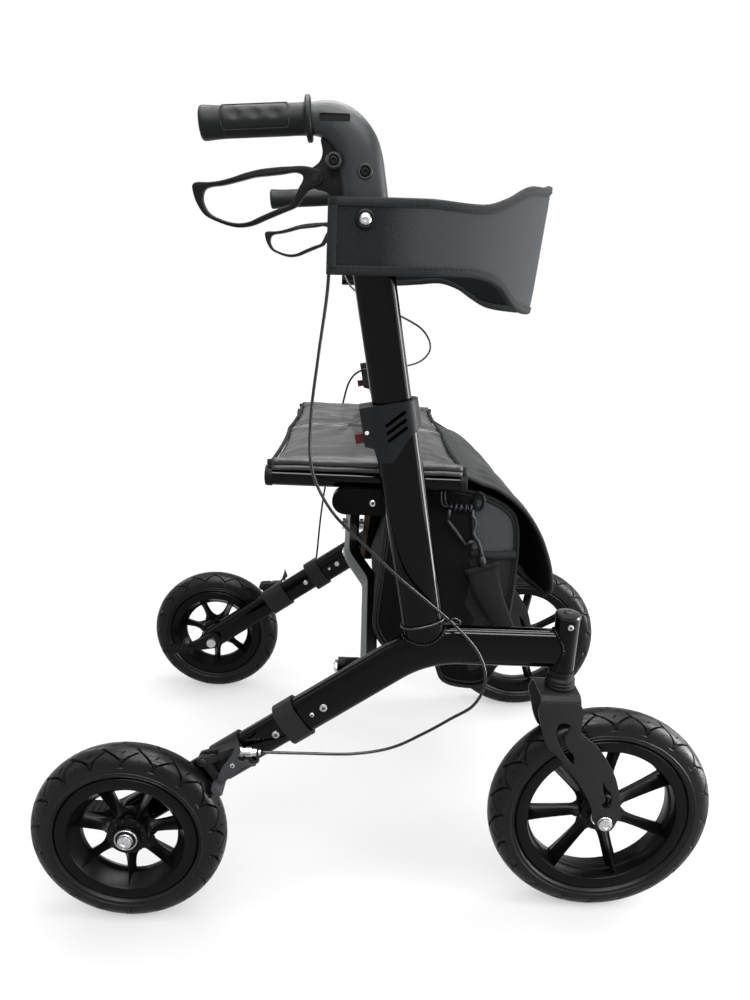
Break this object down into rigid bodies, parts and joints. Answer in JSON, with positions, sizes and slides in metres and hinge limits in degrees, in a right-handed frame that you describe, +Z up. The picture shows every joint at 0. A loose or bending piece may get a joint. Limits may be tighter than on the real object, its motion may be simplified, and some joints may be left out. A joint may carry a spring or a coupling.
{
  "type": "all-terrain rollator",
  "caption": "Folding four-wheel walking aid with large tyres, swivel casters, seat, wrap-round backrest, bag, loop brakes and height-adjustable handles.",
  "frame": {"origin": "on the floor below the middle of the bounding box", "axes": "+X forward, the way it is pushed, +Y to the user's left, +Z up"},
  "size_m": [0.908, 0.6524, 1.0075],
  "materials": {
    "gloss_black": "gloss powder coat",
    "satin_black": "satin powder coat",
    "bronze": "satin",
    "black_plastic": "moulded, fine grain",
    "grey_plastic": "moulded",
    "maroon": "moulded",
    "steel": "bright zinc",
    "grip": "soft matte",
    "tyre": "matte rubber",
    "rim": "satin moulded",
    "cable": "smooth sheath",
    "seat": "grained leatherette",
    "band": "foam-backed knit",
    "bag": "woven and coated cloth",
    "webbing": "ribbed webbing"
  },
  "bodies": {
    "right_frame": {"side_frame_right": "gloss_black", "column_right": "gloss_black", "rear_leg_right": "gloss_black", "leg_collars_right": "grey_plastic", "lock_collar_right": "black_plastic", "saddle_right": "black_plastic", "brake_cable_right": "cable", "frame_bolts_right": "steel", "rear_axle_right": "steel", "foot_pedal_right": "black_plastic", "headset_right": "black_plastic"},
    "right_handle": {"handle_post_right": "gloss_black", "handle_elbow_right": "black_plastic", "grip_right": "grip", "backrest_end_right": "band"},
    "right_lever": {"brake_lever_right": "black_plastic"},
    "right_lock_button": {"lock_button_right": "maroon"},
    "right_fork": {"fork_right": "satin_black", "front_axle_right": "steel"},
    "right_front_wheel": {"front_rim_right": "rim", "front_tyre_right": "tyre"},
    "right_rear_wheel": {"rear_rim_right": "rim", "rear_tyre_right": "tyre"},
    "right_brake_arm": {"brake_arm_right": "grey_plastic"},
    "right_backrest": {"backrest_right": "band"},
    "right_seat": {"seat_right": "seat"},
    "left_frame": {"side_frame_left": "gloss_black", "column_left": "gloss_black", "rear_leg_left": "gloss_black", "leg_collars_left": "grey_plastic", "lock_collar_left": "black_plastic", "saddle_left": "black_plastic", "brake_cable_left": "cable", "frame_bolts_left": "steel", "rear_axle_left": "steel", "foot_pedal_left": "black_plastic", "headset_left": "black_plastic"},
    "left_handle": {"handle_post_left": "gloss_black", "handle_elbow_left": "black_plastic", "grip_left": "grip", "backrest_end_left": "band"},
    "left_lever": {"brake_lever_left": "black_plastic"},
    "left_lock_button": {"lock_button_left": "maroon"},
    "left_fork": {"fork_left": "satin_black", "front_axle_left": "steel"},
    "left_front_wheel": {"front_rim_left": "rim", "front_tyre_left": "tyre"},
    "left_rear_wheel": {"rear_rim_left": "rim", "rear_tyre_left": "tyre"},
    "left_brake_arm": {"brake_arm_left": "grey_plastic"},
    "left_backrest": {"backrest_left": "band"},
    "left_seat": {"seat_left": "seat"},
    "right_brace": {"cross_leg_right": "satin_black", "cross_pivot": "steel", "seat_rail_left": "satin_black"},
    "left_brace": {"cross_leg_left": "bronze", "seat_rail_right": "satin_black"},
    "bag": {"bag_body": "bag", "bag_flap": "bag", "bag_strap": "webbing"}
  },
  "joints": [
    {"name": "fold", "type": "hinge", "parent": "right_frame", "child": "right_brace", "pos_m": [-0.022, -0.228, 0.336], "axis": [1, 0, 0], "range_deg": [0, 42], "deforming": ["bag_body", "bag_flap", "bag_strap"]},
    {"name": "cross_turn", "type": "hinge", "parent": "right_brace", "child": "left_brace", "pos_m": [-0.022, 0, 0.46502], "axis": [1, 0, 0], "range_deg": [-84, 0]},
    {"name": "left_frame_turn", "type": "hinge", "parent": "left_brace", "child": "left_frame", "pos_m": [-0.022, 0.228, 0.336], "axis": [1, 0, 0], "range_deg": [0, 42]},
    {"name": "right_seat_turn", "type": "hinge", "parent": "left_brace", "child": "right_seat", "pos_m": [-0.036, -0.235, 0.598], "axis": [1, 0, 0], "range_deg": [0, 126]},
    {"name": "left_seat_turn", "type": "hinge", "parent": "right_brace", "child": "left_seat", "pos_m": [-0.036, 0.235, 0.598], "axis": [1, 0, 0], "range_deg": [-126, 0]},
    {"name": "bag_hang", "type": "hinge", "parent": "left_brace", "child": "bag", "pos_m": [-0.036, -0.235, 0.598], "axis": [1, 0, 0], "range_deg": [0, 42]},
    {"name": "right_height", "type": "slide", "parent": "right_frame", "child": "right_handle", "axis": [-0.1905, -0.0523, 0.9803], "range_m": [-0.06, 0.02], "deforming": ["brake_cable_right"]},
    {"name": "right_lever_squeeze", "type": "hinge", "parent": "right_handle", "child": "right_lever", "pos_m": [-0.10305, -0.29336, 0.93216], "axis": [-0.01, 0.9986, 0.0514], "range_deg": [0, 15], "stiffness_Nm_per_rad": 0.6},
    {"name": "right_brake_swing", "type": "hinge", "parent": "right_frame", "child": "right_brake_arm", "pos_m": [-0.23073, -0.293, 0.23206], "axis": [0, 1, 0], "range_deg": [0, 5.4]},
    {"name": "right_lock_press", "type": "slide", "parent": "right_frame", "child": "right_lock_button", "axis": [0.9816, 0, 0.1908], "range_m": [0, 0.003], "stiffness_N_per_m": 400},
    {"name": "right_caster_swivel", "type": "hinge", "parent": "right_frame", "child": "right_fork", "pos_m": [0.228, -0.264, 0.391], "axis": [0, 0, 1], "continuous": true},
    {"name": "right_front_spin", "type": "hinge", "parent": "right_fork", "child": "right_front_wheel", "pos_m": [0.302, -0.264, 0.152], "axis": [0, 1, 0], "continuous": true},
    {"name": "right_rear_spin", "type": "hinge", "parent": "right_frame", "child": "right_rear_wheel", "pos_m": [-0.327, -0.301, 0.127], "axis": [0, 1, 0], "continuous": true},
    {"name": "right_backrest_turn", "type": "hinge", "parent": "right_handle", "child": "right_backrest", "pos_m": [0.012, -0.317, 0.872], "axis": [0, 0, 1], "range_deg": [-32.4, 0]},
    {"name": "left_height", "type": "slide", "parent": "left_frame", "child": "left_handle", "axis": [-0.1905, 0.0523, 0.9803], "range_m": [-0.06, 0.02], "deforming": ["brake_cable_left"]},
    {"name": "left_lever_squeeze", "type": "hinge", "parent": "left_handle", "child": "left_lever", "pos_m": [-0.10305, 0.29336, 0.93216], "axis": [0.01, 0.9986, -0.0514], "range_deg": [0, 15], "stiffness_Nm_per_rad": 0.6},
    {"name": "left_brake_swing", "type": "hinge", "parent": "left_frame", "child": "left_brake_arm", "pos_m": [-0.23073, 0.293, 0.23206], "axis": [0, 1, 0], "range_deg": [0, 5.4]},
    {"name": "left_lock_press", "type": "slide", "parent": "left_frame", "child": "left_lock_button", "axis": [0.9816, 0, 0.1908], "range_m": [0, 0.003], "stiffness_N_per_m": 400},
    {"name": "left_caster_swivel", "type": "hinge", "parent": "left_frame", "child": "left_fork", "pos_m": [0.228, 0.264, 0.391], "axis": [0, 0, 1], "continuous": true},
    {"name": "left_front_spin", "type": "hinge", "parent": "left_fork", "child": "left_front_wheel", "pos_m": [0.302, 0.264, 0.152], "axis": [0, 1, 0], "continuous": true},
    {"name": "left_rear_spin", "type": "hinge", "parent": "left_frame", "child": "left_rear_wheel", "pos_m": [-0.327, 0.301, 0.127], "axis": [0, 1, 0], "continuous": true},
    {"name": "left_backrest_turn", "type": "hinge", "parent": "left_handle", "child": "left_backrest", "pos_m": [0.012, 0.317, 0.872], "axis": [0, 0, 1], "range_deg": [0, 32.4]}
  ],
  "couplings": [
    {"joint": "cross_turn", "follows": "fold", "ratio": -2},
    {"joint": "left_frame_turn", "follows": "fold", "ratio": 1},
    {"joint": "right_seat_turn", "follows": "fold", "ratio": 3},
    {"joint": "left_seat_turn", "follows": "fold", "ratio": -3},
    {"joint": "bag_hang", "follows": "fold", "ratio": 1},
    {"joint": "right_brake_swing", "follows": "right_lever_squeeze", "ratio": 0.36},
    {"joint": "right_backrest_turn", "follows": "fold", "ratio": -0.77143},
    {"joint": "left_brake_swing", "follows": "left_lever_squeeze", "ratio": 0.36},
    {"joint": "left_backrest_turn", "follows": "fold", "ratio": 0.77143},
    {"joint": "left_height", "follows": "right_height", "ratio": 1}
  ]
}
